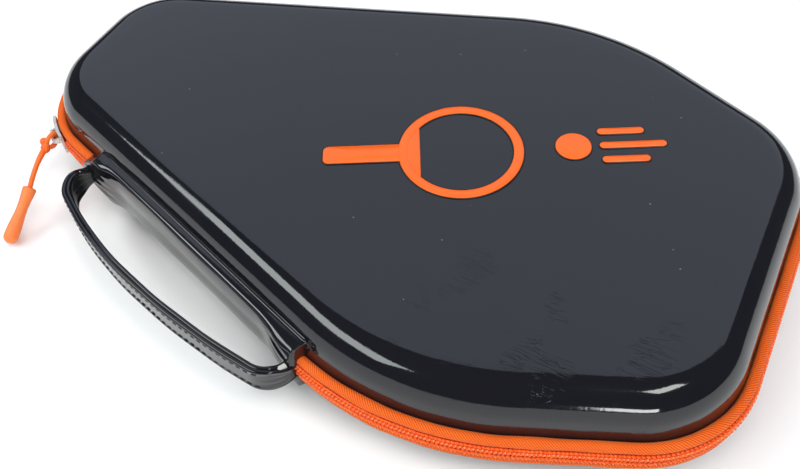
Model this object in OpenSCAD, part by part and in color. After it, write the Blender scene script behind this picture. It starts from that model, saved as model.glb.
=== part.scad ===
// Hard clamshell case for a table tennis paddle.
// Two moulded halves meet at a zip that runs round the outline, and fold open
// about a flexible spine on one long side, which also carries the handle.
// Frame: origin at the centre of the resting face, +Z up, narrow end at -X,
// head end at +X, spine and handle on the -Y side. Millimetres.

/* [Outline] */
// Length of the shell wall, narrow end to head end
wall_length = 290; // [284:1:296]
// Width between the unrounded corners at the narrow end
narrow_width = 69; // [66:1:72]
// Width between the unrounded corners at the widest place
wide_width = 199.4; // [194:0.2:204]
// Width between the unrounded corners at the head end
head_width = 117.6; // [112:0.2:122]
// Distance of the widest place from the centre
wide_position = 51.3; // [47:0.1:56]
// Corner radius at the narrow end
narrow_radius = 31.9; // [30:0.1:34]
// Corner radius at the widest place
wide_radius = 106.5; // [100:0.5:112]
// Corner radius at the head end
head_radius = 38.2; // [36:0.1:42]

/* [Halves] */
// Height of each half, from the zip to its flat face
half_height = 22.4; // [20:0.1:26]
// Rounding between the wall and the flat face
edge_radius = 10.8; // [9.5:0.1:12]
// Thickness of the glossy outer skin
skin_thickness = 1.2; // [0.8:0.1:1.6]
// Thickness of the moulded foam
foam_thickness = 4; // [3:0.1:5]
// Thickness of the fabric lining
lining_thickness = 0.8; // [0.5:0.1:1.2]

/* [Zip] */
// How far the rolled edge of the tape stands out from the wall
tape_reach = 5.8; // [5.4:0.1:6]
// How far the coil stands out from the wall
coil_reach = 6.1; // [5.9:0.1:6.2]
// Height of one row of coil
coil_height = 2.4; // [2.2:0.02:2.4]
// Angle round the narrow corner where the slider sits, from its narrow side
slider_angle = 52; // [46:1:54]
// Length of the slider
slider_length = 13.6; // [12:0.2:15]

/* [Spine and handle] */
// Distance from the unrounded narrow corner to the start of the spine
spine_start = 34; // [33:0.5:36]
// Length of the spine
spine_length = 137; // [130:0.5:138]
// Distance of the handle's crest from the wall
handle_reach = 26.7; // [24:0.1:30]
// Thickness of the handle strap
strap_thickness = 3.2; // [2.6:0.1:3.6]
// Width of the handle strap
strap_width = 12.4; // [11:0.2:12.4]

/* [Inside] */
// Height that the elastic straps leave free for the paddle's grip
grip_clearance = 25; // [22:0.5:26]
// Width of each elastic strap
elastic_width = 25; // [20:1:30]

/* [Badge] */
// Height of the raised badge on the lid
badge_height = 0.4; // [0.2:0.1:0.8]
// Radius of the paddle blade in the badge
badge_blade = 23; // [20:0.5:28]

/* [Hidden] */
$fn = 128;
$slim = 0;
glossy_black = "#1b1c20";
binding_black = "#26272b";
elastic_black = "#2c2d31";
foam_grey = "#55565a";
lining_grey = "#3a3b40";
mesh_grey = "#6a6b70";
core_white = "#d8d8d2";
thread_grey = "#8b8c92";
bright_orange = "#f0601e";
red_orange = "#e0431c";
pale_orange = "#f58a48";
bright_metal = "#c2c4c6";

outline = [
    [-wall_length / 2, -narrow_width / 2],
    [wide_position, -wide_width / 2],
    [wall_length / 2, -head_width / 2],
    [wall_length / 2, head_width / 2],
    [wide_position, wide_width / 2],
    [-wall_length / 2, narrow_width / 2]
];
corner_radii = [narrow_radius, wide_radius, head_radius, head_radius, wide_radius, narrow_radius];
corner_count = len(outline);

// Sides run this far into the corners, and are this much thinner there, so no faces coincide.
seam_lap = 0.5;
seam_step = 0.02;

// The halves keep this gap to the plane between them.
rim_gap = 0.3;
binding_thickness = 0.5;
binding_leg = 8;
binding_setback = 0.2;
rim_foot = rim_gap + binding_thickness;
wall_thickness = skin_thickness + foam_thickness + lining_thickness;
inner_floor = half_height - wall_thickness;
// The swept wall reaches this far inward, and a flat panel fills the rest.
sweep_reach = 2 * edge_radius + 2;
panel_inset = sweep_reach - 1;

// Zip section, measured outward from the wall and away from the mid plane.
coil_gap = 0.5;
coil_start = 2.6;
cord_thickness = 0.8;
cord_inset = 0.1;
web_start = 1.8;
roll_radius = 1.85;
roll_centre = [tape_reach - roll_radius, 4.78];
seam_half_height = 0.9;

// The zip ends beside the spine, short of its left end and just into the corner at its right end.
zip_left_end = spine_start - 0.8;
zip_right_turn = 3.9;
stop_length = 1.6;
stop_gap = 0.1;
stop_turn = 0.8;
stop_gap_turn = 0.1;

// Round the slider the lid's coil is worn down to its cord, from and to these angles.
lid_coil_break = [slider_angle - 19, slider_angle + 11];

piping_height = 9.6;
piping_radius = 3;

spine_inner = 1.9;
spine_face = 4.6;
spine_half_height = 6.2;
spine_plate_half_height = 5.2;
spine_roll = 1.8;
spine_roll_out = spine_face + 0.4;
spine_lining_margin = 1;

// The handle turns about this line in the spine's channel.
handle_axis_out = 6;
handle_root_radius = 1.3;
handle_root_neck = 1.6;
handle_root_lap = 0.1;
handle_left = 40;
handle_crest = 90;
handle_right = 168.2;
left_bow_radius = 185;
left_bow_angle = 12.8;
right_bow_radius = 300;
right_bow_angle = 13.5;
// Each corner of the handle is tangent to its root and to the bow.
function corner_radius(run, bow, angle) = (run - bow * sin(angle)) / (1 - sin(angle));
function corner_out(bow, angle, corner) = handle_reach - bow * (1 - cos(angle)) - corner * cos(angle);
left_corner_radius = corner_radius(handle_crest - handle_left, left_bow_radius, left_bow_angle);
left_corner_out = corner_out(left_bow_radius, left_bow_angle, left_corner_radius);
right_corner_radius = corner_radius(handle_right - handle_crest, right_bow_radius, right_bow_angle);
right_corner_out = corner_out(right_bow_radius, right_bow_angle, right_corner_radius);
core_thickness = 1.6;
core_width = 9.6;
core_gap = 0.05;
// The core stops this many degrees short of the roots.
core_trim = 4;
stitch_height = strap_width / 2 - 1.5;
thread_radius = 0.3;

slider_direction = 180 + slider_angle;
plate_start = 6.4;
plate_thickness = 1.2;
slider_half_width = 5;
inner_plate_start = 0.4;
inner_plate_end = inner_plate_start + plate_thickness;
inner_plate_half_width = 3.2;
slider_post = [4, 0.8];
slider_post_inset = 1.2;
inner_plate_length = slider_length - 2;
crown_width = 2.2;
crown_length = 8.5;
crown_rise = 3;
crown_metal = 1;
crown_leg = 1.3;

pull_pivot = plate_start + plate_thickness + 0.95;
pull_swing = 44;
pull_droop = 27;
cord_loop = 3.2;
cord_radius = 0.8;
cord_root_radius = 1.1;
cord_knot_radius = 1.9;
cord_knot = 2 * cord_loop + 1.4;
cord_length = 17.6;
grip_length = 22.4;
grip_waist = 9;
grip_top_radius = 2.9;
grip_waist_radius = 2.4;
grip_end_radius = 3.1;

elastic_thickness = 1.2;
band_half_width = 24;
band_top_half_width = 17;
band_foot = 8;
near_band_x = -50;
end_band_x = -95;
patch_thickness = 0.8;
patch_overhang = 1;
patch_inset = 0.75;

pocket_open_x = -10;
pocket_margin = 26;
pocket_seam = 3;
pocket_depth = 3;
pocket_thickness = 0.8;
hem_width = 8;
hem_thickness = 1.2;

badge_centre = [30, 2];
badge_turn = 28;
badge_rim = 3.6;
badge_shoulder = 8;
badge_grip = 28;
badge_grip_width = 8.5;
badge_ball = 6.5;
badge_ball_gap = 18;
streak_width = 3;
streak_pitch = 7;
streak_length = 24;
streak_gap = 3;
streak_step = 7;

// ---- Outline geometry ----

function corner_at(i) = outline[(i + corner_count) % corner_count];
function radius_at(i) = corner_radii[(i + corner_count) % corner_count];
function edge_vector(i) = corner_at(i + 1) - corner_at(i);
function edge_length(i) = norm(edge_vector(i));
function edge_angle(i) = atan2(edge_vector(i)[1], edge_vector(i)[0]);
function inward(i) = [-sin(edge_angle(i)), cos(edge_angle(i))];
function turn(i) = (edge_angle(i) - edge_angle(i - 1) + 360) % 360;
function tangent_run(i) = radius_at(i) * tan(turn(i) / 2);
function along_edge(i, s) = corner_at(i) + s * edge_vector(i) / edge_length(i);
function arc_centre(i) = along_edge(i, tangent_run(i)) + radius_at(i) * inward(i);
function inset_corner(i, d) = corner_at(i) + d * (inward(i - 1) + inward(i)) / (1 + cos(turn(i)));
function inset_outline(d) = [for (i = [0 : corner_count - 1]) inset_corner(i, d)];

// The pocket follows the outline from its open edge to the head end.
function pocket_slope(d) = let (run = inset_corner(1, d) - inset_corner(0, d)) run[1] / run[0];
function pocket_half_width(d) =
    -inset_corner(0, d)[1] - pocket_slope(d) * (pocket_open_x - inset_corner(0, d)[0]);
function pocket_outline(d) = [
    [pocket_open_x, -pocket_half_width(d)],
    for (i = [1 : 4]) inset_corner(i, d),
    [pocket_open_x, pocket_half_width(d)]
];

// Sweeps a section round part of a corner; the section's x runs outward from the wall line.
module round_corner(i, from, to) {
    $slim = 0;
    translate(concat(arc_centre(i), 0))
        rotate([0, 0, edge_angle(i - 1) - 90 + from])
            rotate_extrude(angle = to - from)
                translate([radius_at(i), 0])
                    children();
}

// Sweeps a section along part of a side, measured from its unrounded first corner.
module along_side(i, from, to) {
    $slim = seam_step;
    translate(concat(along_edge(i, to), 0))
        rotate([90, 0, edge_angle(i) - 90])
            linear_extrude(to - from)
                children();
}

module whole_side(i) {
    along_side(i, tangent_run(i) - seam_lap, edge_length(i) - tangent_run(i + 1) + seam_lap)
        children();
}

module whole_ring() {
    for (i = [0 : corner_count - 1]) {
        round_corner(i, 0, turn(i))
            children();
        whole_side(i)
            children();
    }
}

// The ring with a break for the spine, and another where one is given in the first corner.
module zip_ring(first_corner_break = [0, 0]) {
    along_side(0, tangent_run(0) - seam_lap, zip_left_end - stop_length)
        children();
    if (first_corner_break[0] > 0)
        round_corner(0, 0, first_corner_break[0])
            children();
    round_corner(0, first_corner_break[1], turn(0))
        children();
    round_corner(1, zip_right_turn, turn(1))
        children();
    for (i = [2 : corner_count - 1])
        round_corner(i, 0, turn(i))
            children();
    for (i = [1 : corner_count - 1])
        whole_side(i)
            children();
}

module upper_half() {
    translate([0, 0, half_height])
        children();
}

module lower_half() {
    upper_half()
        mirror([0, 0, 1])
            children();
}

// ---- Sections, drawn for the upper half from the mid plane up ----
// Sides are drawn $slim thinner than corners, so each side ends inside its corners.

module section_box(x0, x1, z0, z1) {
    translate([x0 + $slim, z0 + $slim])
        square([x1 - x0 - 2 * $slim, z1 - z0 - 2 * $slim]);
}

module section_circle(centre, r) {
    translate(centre)
        circle(r - $slim);
}

// Everything inside a layer whose outer face lies this far inside the skin.
module filled_section(inset, foot, reach) {
    corner = half_height - edge_radius;
    translate([-reach, foot])
        square([reach - inset, corner - foot]);
    translate([-reach, foot])
        square([reach - edge_radius, half_height - inset - foot]);
    translate([-edge_radius, corner])
        circle(edge_radius - inset);
}

module layer_section(inset, thickness) {
    difference() {
        filled_section(inset + $slim, rim_foot + $slim, sweep_reach - $slim);
        filled_section(inset + thickness - $slim, rim_foot - 1, sweep_reach + 1);
    }
}

module binding_section() {
    inner = -wall_thickness - binding_thickness;
    section_box(inner, -binding_setback, rim_gap, rim_foot);
    section_box(inner, -wall_thickness, rim_gap, rim_gap + binding_leg);
}

// A rolled edge, sewn to the wall behind it, with a flat web down to the coil.
module tape_section() {
    section_circle(roll_centre, roll_radius);
    section_box(0, roll_centre[0], roll_centre[1] - seam_half_height, roll_centre[1] + seam_half_height);
    section_box(web_start, coil_start, coil_gap, roll_centre[1]);
}

module coil_section() {
    round_end = coil_height / 2;
    section_box(coil_start, coil_reach - round_end, coil_gap, coil_gap + coil_height);
    section_circle([coil_reach - round_end, coil_gap + round_end], round_end);
}

// The sewn edge that carries the coil.
module coil_cord_section() {
    section_box(
        coil_start + cord_inset,
        coil_start + cord_thickness,
        coil_gap + cord_inset,
        coil_gap + coil_height - cord_inset
    );
}

module piping_section() {
    intersection() {
        section_circle([0, piping_height], piping_radius);
        section_box(0, piping_radius + 1, 0, half_height);
    }
}

// ---- Pieces shared by both halves ----

module half_layer(inset, thickness) {
    whole_ring()
        layer_section(inset, thickness);
    translate([0, 0, half_height - inset - thickness + seam_step])
        linear_extrude(thickness - 2 * seam_step)
            polygon(inset_outline(panel_inset));
}

module half_zip_stops() {
    along_side(0, zip_left_end - stop_length + stop_gap, zip_left_end)
        coil_section();
    round_corner(1, zip_right_turn - stop_turn, zip_right_turn - stop_gap_turn)
        coil_section();
}

module half_piping() {
    along_side(0, spine_start, spine_start + spine_length)
        piping_section();
}

// ---- Lid ----

module lid_shell() {
    color(glossy_black)
        upper_half()
            half_layer(0, skin_thickness);
}

module lid_foam() {
    color(foam_grey)
        upper_half()
            half_layer(skin_thickness, foam_thickness);
}

module lid_lining() {
    color(lining_grey)
        upper_half()
            half_layer(skin_thickness + foam_thickness, lining_thickness);
}

module lid_rim_binding() {
    color(binding_black)
        upper_half()
            whole_ring()
                binding_section();
}

module lid_zip_tape() {
    color(bright_orange)
        upper_half()
            zip_ring()
                tape_section();
}

// The coils of this row stop short of the slider on both sides, and their cord runs on past it.
module lid_zip_coil() {
    color(red_orange)
        upper_half() {
            zip_ring(lid_coil_break)
                coil_section();
            round_corner(0, lid_coil_break[0] - 1, lid_coil_break[1] + 1)
                coil_cord_section();
        }
}

module lid_zip_stops() {
    color(bright_metal)
        upper_half()
            half_zip_stops();
}

module lid_spine_piping() {
    color(glossy_black)
        upper_half()
            half_piping();
}

// A raised outline of a paddle, and a ball with three streaks behind it.
module lid_badge() {
    ball_x = badge_blade + badge_ball_gap;
    color(bright_orange)
        translate([badge_centre[0], badge_centre[1], 2 * half_height])
            rotate([0, 0, badge_turn])
                linear_extrude(badge_height) {
                    difference() {
                        circle(badge_blade);
                        circle(badge_blade - badge_rim);
                    }
                    intersection() {
                        circle(badge_blade);
                        translate([-badge_blade, -badge_blade])
                            square([badge_shoulder, 2 * badge_blade]);
                    }
                    translate([-badge_blade - badge_grip, -badge_grip_width / 2])
                        square([badge_grip + badge_shoulder, badge_grip_width]);
                    translate([ball_x, 0])
                        circle(badge_ball);
                    for (k = [-1 : 1])
                        translate([ball_x + badge_ball + streak_gap, k * streak_pitch - streak_width / 2])
                            square([streak_length - streak_step * abs(k), streak_width]);
                }
}

// Pocket for small accessories, open toward the narrow end.
module pocket_mesh() {
    color(mesh_grey)
        upper_half()
            translate([0, 0, inner_floor - pocket_depth])
                linear_extrude(pocket_thickness)
                    polygon(pocket_outline(pocket_margin));
}

module pocket_binding() {
    color(binding_black)
        upper_half()
            translate([0, 0, inner_floor - pocket_depth + pocket_thickness])
                linear_extrude(pocket_depth - pocket_thickness)
                    difference() {
                        polygon(pocket_outline(pocket_margin));
                        polygon(pocket_outline(pocket_margin + pocket_seam));
                    }
}

module pocket_elastic() {
    edge = pocket_half_width(pocket_margin);
    color(elastic_black)
        upper_half()
            translate([pocket_open_x, -edge, inner_floor - pocket_depth - hem_thickness])
                cube([hem_width, 2 * edge, hem_thickness]);
}

// ---- Base ----

module base_shell() {
    color(glossy_black)
        lower_half()
            half_layer(0, skin_thickness);
}

module base_foam() {
    color(foam_grey)
        lower_half()
            half_layer(skin_thickness, foam_thickness);
}

module base_lining() {
    color(lining_grey)
        lower_half()
            half_layer(skin_thickness + foam_thickness, lining_thickness);
}

module base_rim_binding() {
    color(binding_black)
        lower_half()
            whole_ring()
                binding_section();
}

module base_zip_tape() {
    color(bright_orange)
        lower_half()
            zip_ring()
                tape_section();
}

module base_zip_coil() {
    color(red_orange)
        lower_half()
            zip_ring()
                coil_section();
}

module base_zip_stops() {
    color(bright_metal)
        lower_half()
            half_zip_stops();
}

module base_spine_piping() {
    color(glossy_black)
        lower_half()
            half_piping();
}

// An elastic band that arches over the paddle's grip, at a given distance along the case.
module grip_band(x) {
    rise = grip_clearance + elastic_thickness;
    foot_y = band_half_width + band_foot;
    translate([x - elastic_width / 2, 0, half_height - inner_floor])
        rotate([90, 0, 90])
            linear_extrude(elastic_width)
                difference() {
                    polygon([
                        [-foot_y, 0],
                        [foot_y, 0],
                        [foot_y, elastic_thickness],
                        [band_half_width, elastic_thickness],
                        [band_top_half_width, rise],
                        [-band_top_half_width, rise],
                        [-band_half_width, elastic_thickness],
                        [-foot_y, elastic_thickness]
                    ]);
                    polygon([
                        [-band_half_width + elastic_thickness, -1],
                        [band_half_width - elastic_thickness, -1],
                        [band_top_half_width - elastic_thickness, grip_clearance],
                        [-band_top_half_width + elastic_thickness, grip_clearance]
                    ]);
                }
}

module grip_band_near_blade() {
    color(elastic_black)
        grip_band(near_band_x);
}

module grip_band_at_end() {
    color(elastic_black)
        grip_band(end_band_x);
}

// Patches sewn over the ends of the bands.
module band_patches() {
    length = elastic_width + 2 * patch_overhang;
    width = band_foot - 2 * patch_inset;
    color(glossy_black)
        for (x = [near_band_x, end_band_x])
            for (side = [-1, 1])
                translate([
                    x - length / 2,
                    side * (band_half_width + band_foot / 2) - width / 2,
                    half_height - inner_floor + elastic_thickness
                ])
                    cube([length, width, patch_thickness]);
}

// ---- Spine ----

// Local frame on the spine's side: x along the side, y outward from the wall, z from the mid plane.
module on_spine_side() {
    upper_half()
        translate(concat(corner_at(0), 0))
            rotate([0, 0, edge_angle(0)])
                mirror([0, 1, 0])
                    children();
}

module spine_cover() {
    color(glossy_black)
        upper_half()
            along_side(0, spine_start, spine_start + spine_length) {
                translate([spine_inner, -spine_plate_half_height])
                    square([spine_face - spine_inner, 2 * spine_plate_half_height]);
                for (side = [-1, 1])
                    translate([spine_roll_out, side * (spine_half_height - spine_roll)])
                        circle(spine_roll);
            }
}

module spine_lining() {
    color(lining_grey)
        upper_half()
            along_side(0, spine_start + spine_lining_margin, spine_start + spine_length - spine_lining_margin)
                translate([spine_inner - lining_thickness, -spine_plate_half_height])
                    square([lining_thickness, 2 * spine_plate_half_height]);
}

// ---- Handle ----

// Sweeps a strap section round an arc in the spine-side frame; the section's x runs outward.
// Slim arcs are drawn thinner and run on into their neighbours.
module strap_arc(centre, radius, from, to, slim) {
    $slim = slim;
    lap = slim > 0 ? seam_lap / radius * 180 / PI : 0;
    on_spine_side()
        translate([centre[0], centre[1], 0])
            rotate([0, 0, from - lap])
                rotate_extrude(angle = to - from + 2 * lap)
                    translate([radius, 0])
                        children();
}

// Runs a section round the whole bow, from the right root to the left root, less a trim at each end.
module handle_bow(trim = 0) {
    right_corner = [handle_right - right_corner_radius, right_corner_out];
    right_bow = [handle_crest, handle_reach - right_bow_radius];
    left_bow = [handle_crest, handle_reach - left_bow_radius];
    left_corner = [handle_left + left_corner_radius, left_corner_out];
    strap_arc(right_corner, right_corner_radius, trim, 90 - right_bow_angle, 0)
        children();
    strap_arc(right_bow, right_bow_radius, 90 - right_bow_angle, 90, seam_step)
        children();
    strap_arc(left_bow, left_bow_radius, 90, 90 + left_bow_angle, 0)
        children();
    strap_arc(left_corner, left_corner_radius, 90 + left_bow_angle, 180 - trim, seam_step)
        children();
}

// A root narrows to a bead that lies in the spine's channel.
module handle_root(x, tip, slim) {
    half = strap_thickness / 2 - slim;
    neck = handle_axis_out + handle_root_neck;
    on_spine_side()
        translate([x - half, 0, 0]) {
            translate([0, handle_axis_out, 0])
                rotate([0, 90, 0])
                    cylinder(h = 2 * half, r = handle_root_radius);
            rotate([90, 0, 90])
                linear_extrude(2 * half)
                    polygon([
                        [handle_axis_out, -handle_root_radius + slim],
                        [neck, -handle_root_radius + slim],
                        [tip - handle_root_lap, -strap_width / 2 + slim],
                        [tip + (slim > 0 ? seam_lap : 0), -strap_width / 2 + slim],
                        [tip + (slim > 0 ? seam_lap : 0), strap_width / 2 - slim],
                        [tip - handle_root_lap, strap_width / 2 - slim],
                        [neck, handle_root_radius - slim],
                        [handle_axis_out, handle_root_radius - slim]
                    ]);
        }
}

module handle_strap() {
    cavity = [core_thickness / 2 + core_gap, core_width / 2 + core_gap];
    color(glossy_black) {
        handle_bow()
            difference() {
                section_box(-strap_thickness / 2, strap_thickness / 2, -strap_width / 2, strap_width / 2);
                translate([-cavity[0] - $slim, -cavity[1] - $slim])
                    square([2 * (cavity[0] + $slim), 2 * (cavity[1] + $slim)]);
            }
        handle_root(handle_left, left_corner_out, 0);
        handle_root(handle_right, right_corner_out, seam_step);
    }
}

module handle_core() {
    color(core_white)
        handle_bow(core_trim)
            section_box(-core_thickness / 2, core_thickness / 2, -core_width / 2, core_width / 2);
}

module handle_stitching() {
    color(thread_grey)
        for (side = [-1, 1])
            handle_bow()
                translate([strap_thickness / 2, side * stitch_height])
                    intersection() {
                        circle(thread_radius - $slim);
                        translate([0, -thread_radius])
                            square([thread_radius, 2 * thread_radius]);
                    }
}

// ---- Slider and puller ----

// Frame at the slider: x outward from the wall line, y round the corner, z from the mid plane.
module at_slider() {
    upper_half()
        translate(concat(arc_centre(0), 0))
            rotate([0, 0, slider_direction])
                translate([radius_at(0), 0, 0])
                    children();
}

// A plate of the slider, bent to follow the corner between two distances from the wall.
module slider_plate(inner, outer, half_width, length) {
    span = length / (radius_at(0) + (inner + outer) / 2) * 180 / PI;
    upper_half()
        translate(concat(arc_centre(0), 0))
            rotate([0, 0, slider_direction - span / 2])
                rotate_extrude(angle = span)
                    translate([radius_at(0) + inner, -half_width])
                        square([outer - inner, 2 * half_width]);
}

// Two plates joined by a post between the two rows of coils.
module slider_body() {
    post_start = inner_plate_start + plate_thickness / 2;
    color(bright_metal) {
        slider_plate(plate_start, plate_start + plate_thickness, slider_half_width, slider_length);
        slider_plate(inner_plate_start, inner_plate_end, inner_plate_half_width, inner_plate_length);
        at_slider()
            translate([post_start, slider_post_inset - slider_length / 2, -slider_post[1] / 2])
                cube([plate_start + plate_thickness / 2 - post_start, slider_post[0], slider_post[1]]);
    }
}

// The arched crown that the puller hangs from.
module slider_crown() {
    foot = crown_length / 2;
    color(bright_metal)
        at_slider()
            translate([plate_start + plate_thickness, 0, -crown_width / 2])
                linear_extrude(crown_width)
                    difference() {
                        polygon([[0, -foot], [crown_rise, 1 - foot], [crown_rise, foot - 1], [0, foot]]);
                        translate([-1, crown_leg - foot])
                            square([crown_rise - crown_metal + 1, 2 * (foot - crown_leg)]);
                    }
}

// Frame at the pull's pivot: x along the pull.
module at_pull() {
    at_slider()
        translate([pull_pivot, 0, 0])
            rotate([0, 0, pull_swing])
                children();
}

module pull_cord() {
    color(bright_orange)
        at_pull() {
            translate([cord_loop, 0, 0])
                rotate([90, 0, 0])
                    rotate_extrude()
                        translate([cord_loop, 0])
                            circle(cord_radius);
            translate([cord_knot, 0, 0]) {
                sphere(cord_knot_radius);
                rotate([0, 90 + pull_droop, 0])
                    cylinder(h = cord_length, r1 = cord_root_radius, r2 = cord_radius);
            }
        }
}

module pull_grip() {
    taper = grip_length - grip_waist - grip_end_radius;
    color(pale_orange)
        at_pull()
            translate([cord_knot, 0, 0])
                rotate([0, 90 + pull_droop, 0])
                    translate([0, 0, cord_length]) {
                        cylinder(h = grip_waist, r1 = grip_top_radius, r2 = grip_waist_radius);
                        translate([0, 0, grip_waist])
                            cylinder(h = taper, r1 = grip_waist_radius, r2 = grip_end_radius);
                        translate([0, 0, grip_waist + taper])
                            sphere(grip_end_radius);
                    }
}

lid_shell();
lid_foam();
lid_lining();
lid_rim_binding();
lid_zip_tape();
lid_zip_coil();
lid_zip_stops();
lid_spine_piping();
lid_badge();
pocket_mesh();
pocket_binding();
pocket_elastic();
base_shell();
base_foam();
base_lining();
base_rim_binding();
base_zip_tape();
base_zip_coil();
base_zip_stops();
base_spine_piping();
grip_band_near_blade();
grip_band_at_end();
band_patches();
spine_cover();
spine_lining();
handle_strap();
handle_core();
handle_stitching();
slider_body();
slider_crown();
pull_cord();
pull_grip();
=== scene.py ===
"""Looks of the paddle case: glossy halves, zip, spine, handle, puller and the fittings inside."""

import math

import bmesh
import bpy
import numpy as np
from mathutils import Matrix, Vector


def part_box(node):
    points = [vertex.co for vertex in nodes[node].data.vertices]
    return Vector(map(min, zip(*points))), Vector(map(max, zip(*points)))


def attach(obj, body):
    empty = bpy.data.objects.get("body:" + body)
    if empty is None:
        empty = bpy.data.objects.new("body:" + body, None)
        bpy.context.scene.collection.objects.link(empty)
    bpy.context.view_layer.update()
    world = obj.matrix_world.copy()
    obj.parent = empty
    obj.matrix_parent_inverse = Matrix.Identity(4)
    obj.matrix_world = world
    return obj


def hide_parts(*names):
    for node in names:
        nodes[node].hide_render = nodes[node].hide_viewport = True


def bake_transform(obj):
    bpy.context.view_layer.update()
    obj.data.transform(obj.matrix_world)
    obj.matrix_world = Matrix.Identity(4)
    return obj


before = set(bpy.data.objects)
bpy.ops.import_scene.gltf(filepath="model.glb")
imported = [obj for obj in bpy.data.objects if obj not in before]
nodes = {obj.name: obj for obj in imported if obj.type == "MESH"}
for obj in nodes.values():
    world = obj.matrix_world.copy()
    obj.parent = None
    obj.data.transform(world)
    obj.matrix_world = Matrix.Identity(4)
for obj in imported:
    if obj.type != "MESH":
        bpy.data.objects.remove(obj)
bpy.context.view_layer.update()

MM = 0.001

# ---- Sizes in millimetres, in the frame of the part ----

shell_low, shell_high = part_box("lid_shell")
WALL_LENGTH = (shell_high.x - shell_low.x) / MM
MID = shell_high.z / MM / 2
HALF = MID
NARROW, WIDE, HEAD = 69, 199.4, 117.6
WIDE_AT = 51.3
RADII = [31.9, 106.5, 38.2, 38.2, 106.5, 31.9]
EDGE = 10.8
WALL = 6
RIM = 0.8
SPINE_FROM, SPINE_TO = 34, 171
TAPE_CENTRES, TAPE_RADIUS = {"lid": (3.8, 4.0), "base": (4.4, 4.9)}, 1.85
ZIP_FROM, ZIP_TO = 166, 45
FOLD_OUT = 7.4
FLARE, FLARE_TOP = 2.9, 17.0


class Outline:
    """The rounded outline of the wall. Distance s runs anticlockwise from the spine side's first end."""

    def __init__(self, corners, radii):
        corners = [np.array(c, float) for c in corners]
        count = len(corners)
        sides = [corners[(i + 1) % count] - corners[i] for i in range(count)]
        self.edges = [v / np.linalg.norm(v) for v in sides]
        headings = [math.atan2(e[1], e[0]) for e in self.edges]
        turns = [(headings[i] - headings[i - 1]) % math.tau for i in range(count)]
        self.runs = [r * math.tan(t / 2) for r, t in zip(radii, turns)]
        self.parts = []
        s = 0.0
        for i in range(count):
            j = (i + 1) % count
            straight = np.linalg.norm(sides[i]) - self.runs[i] - self.runs[j]
            start = corners[i] + self.edges[i] * self.runs[i]
            self.parts.append((s, straight, start, self.edges[i], None))
            s += straight
            arc = radii[j] * turns[j]
            self.parts.append((s, arc, start + self.edges[i] * straight, self.edges[i], radii[j]))
            s += arc
        self.length = s
        self.corner = corners[0]

    def at(self, s):
        """Points on the wall and its outward normals at distances s."""
        s = np.mod(np.asarray(s, float), self.length)
        point = np.zeros((len(s), 2))
        normal = np.zeros((len(s), 2))
        for begin, length, start, edge, radius in self.parts:
            inside = (s >= begin) & (s <= begin + length)
            run = (s[inside] - begin)[:, None]
            outward = np.array((edge[1], -edge[0]))
            if radius is None:
                point[inside] = start + run * edge
                normal[inside] = outward
            else:
                n = outward * np.cos(run / radius) + edge * np.sin(run / radius)
                point[inside] = start - outward * radius + n * radius
                normal[inside] = n
        return point, normal

    def corner_start(self, i):
        """Distance at which rounded corner i begins."""
        return self.parts[2 * ((i - 1) % len(self.edges)) + 1][0]


half_wall = WALL_LENGTH / 2
wall = Outline(
    [
        (-half_wall, -NARROW / 2),
        (WIDE_AT, -WIDE / 2),
        (half_wall, -HEAD / 2),
        (half_wall, HEAD / 2),
        (WIDE_AT, WIDE / 2),
        (-half_wall, NARROW / 2),
    ],
    RADII,
)
SPINE_EDGE = wall.edges[0]
SPINE_OUT = np.array((SPINE_EDGE[1], -SPINE_EDGE[0]))
ZIP_START = ZIP_FROM - wall.runs[0]
ZIP_END = wall.length + ZIP_TO - wall.runs[0]


def on_spine(along, out, height):
    """Points in millimetres from distances along the spine side, outward from it and above the mid plane."""
    along, out, height = np.broadcast_arrays(along, out, height)
    flat = wall.corner + along[..., None] * SPINE_EDGE + out[..., None] * SPINE_OUT
    return np.concatenate([flat, MID + height[..., None]], -1)


def smooth(x, low, high):
    """0 below low, 1 above high, and a smooth step between them."""
    t = np.clip((np.asarray(x, float) - low) / (high - low), 0, 1)
    return t * t * (3 - 2 * t)


def lengths(points):
    """Distance along a line of points, from its first."""
    points = np.asarray(points, float)
    return np.concatenate([[0], np.cumsum(np.linalg.norm(np.diff(points, axis=0), axis=1))])


def loop_lengths(section):
    """Distance along a closed section, back to its first point."""
    return lengths(np.vstack([section, section[:1]]))


def unit(vectors):
    """The same directions, each of length 1."""
    return vectors / np.linalg.norm(vectors, axis=1)[:, None]


def quarter_turn(flat):
    """Directions in the plane, turned a quarter turn anticlockwise."""
    return np.column_stack([-flat[:, 1], flat[:, 0]])


def lift(flat, height=0.0):
    """Points or directions in the plane, taken to this height."""
    return np.column_stack([flat, np.full(len(flat), height)])


def sheet(x, y, z):
    """A grid of points from its coordinates, each spread over the whole grid."""
    return np.stack(np.broadcast_arrays(x, y, z), -1)


def arc(centre, radius, start, end, count):
    """Points on an arc, angles in degrees."""
    a = np.radians(np.linspace(start, end, count))
    return np.stack([centre[0] + radius * np.cos(a), centre[1] + radius * np.sin(a)], 1)


def resample(points, step):
    """The same line with points about a step apart."""
    points = np.asarray(points, float)
    run = lengths(points)
    want = np.linspace(0, run[-1], max(2, round(run[-1] / step) + 1))
    return np.stack([np.interp(want, run, points[:, k]) for k in range(points.shape[1])], 1)


# ---- Meshes ----


def finish_mesh(mesh, merge=False):
    """Faces turned outward and smooth."""
    bm = bmesh.new()
    bm.from_mesh(mesh)
    if merge:
        bmesh.ops.remove_doubles(bm, verts=bm.verts, dist=1e-7)
    bmesh.ops.recalc_face_normals(bm, faces=bm.faces)
    for face in bm.faces:
        face.smooth = True
    bm.to_mesh(mesh)
    bm.free()


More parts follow.
